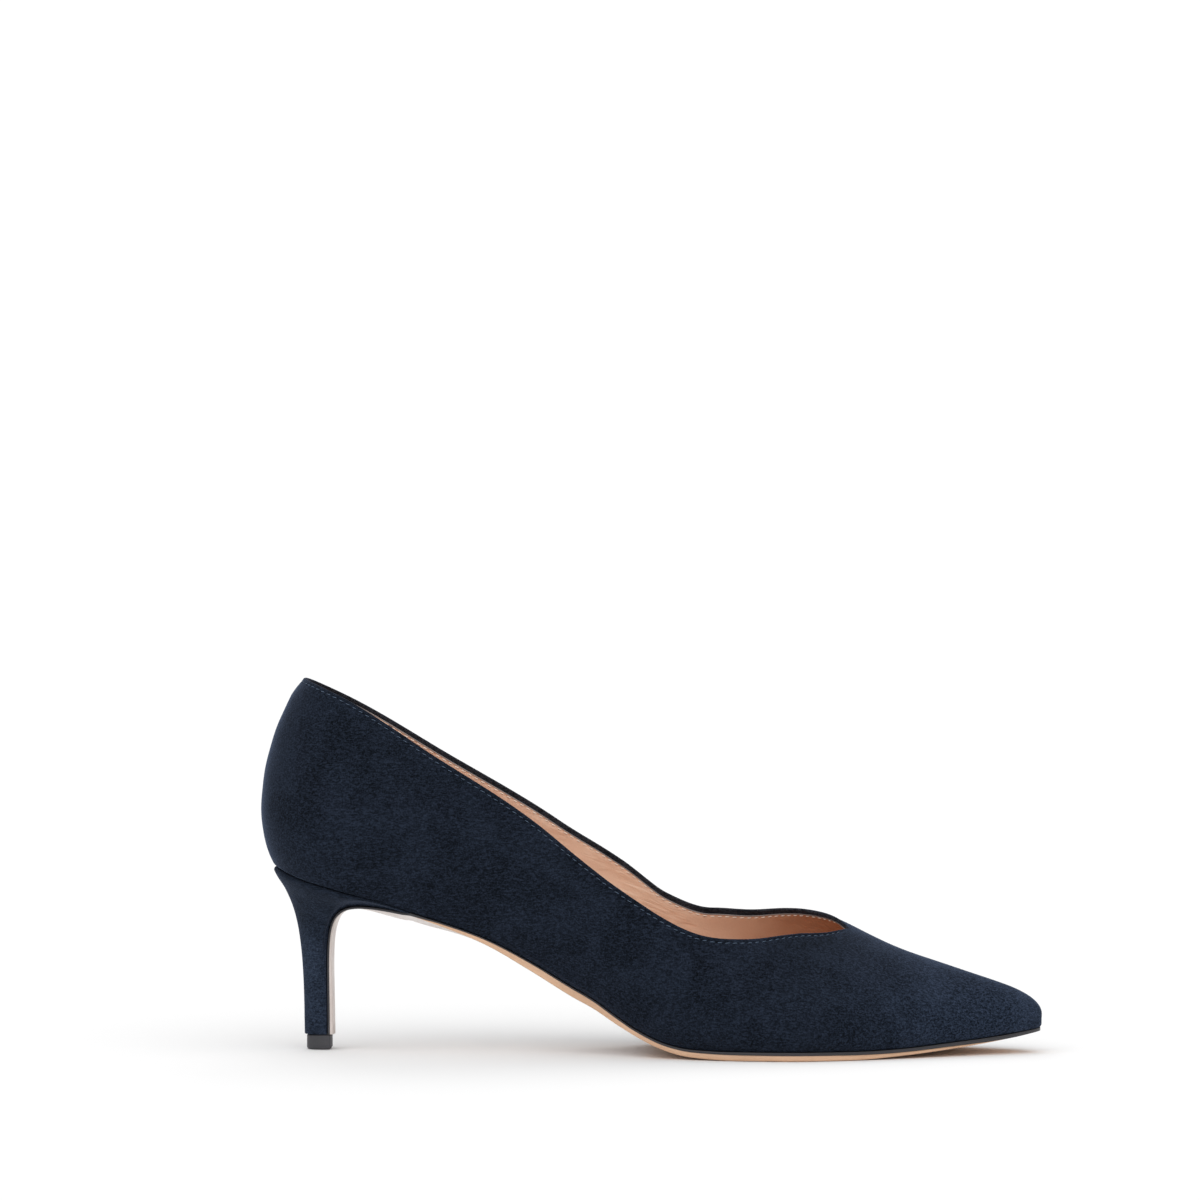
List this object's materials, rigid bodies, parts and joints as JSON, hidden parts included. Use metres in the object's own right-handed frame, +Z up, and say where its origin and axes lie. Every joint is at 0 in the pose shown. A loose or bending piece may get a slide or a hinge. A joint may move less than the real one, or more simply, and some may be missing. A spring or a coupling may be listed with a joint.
{
  "type": "stiletto pump",
  "caption": "Woman's pointed-toe pump in dark blue suede with a slim high heel, open collar and thin tan leather sole.",
  "frame": {"origin": "middle of the shoe's bounding box, on the floor it stands on", "axes": "+X from the heel to the toe tip, +Y to the inner side of the foot, +Z up"},
  "size_m": [0.2516, 0.0748, 0.1206],
  "materials": {
    "suede": "matte napped suede",
    "sock_leather": "smooth lining leather, satin",
    "sole_leather": "waxed sole leather, satin",
    "tip_rubber": "matte hard rubber"
  },
  "bodies": {
    "root": {"upper": "suede", "insole": "sock_leather", "outsole": "sole_leather", "heel": "suede", "heel_tip": "tip_rubber"}
  },
  "joints": []
}
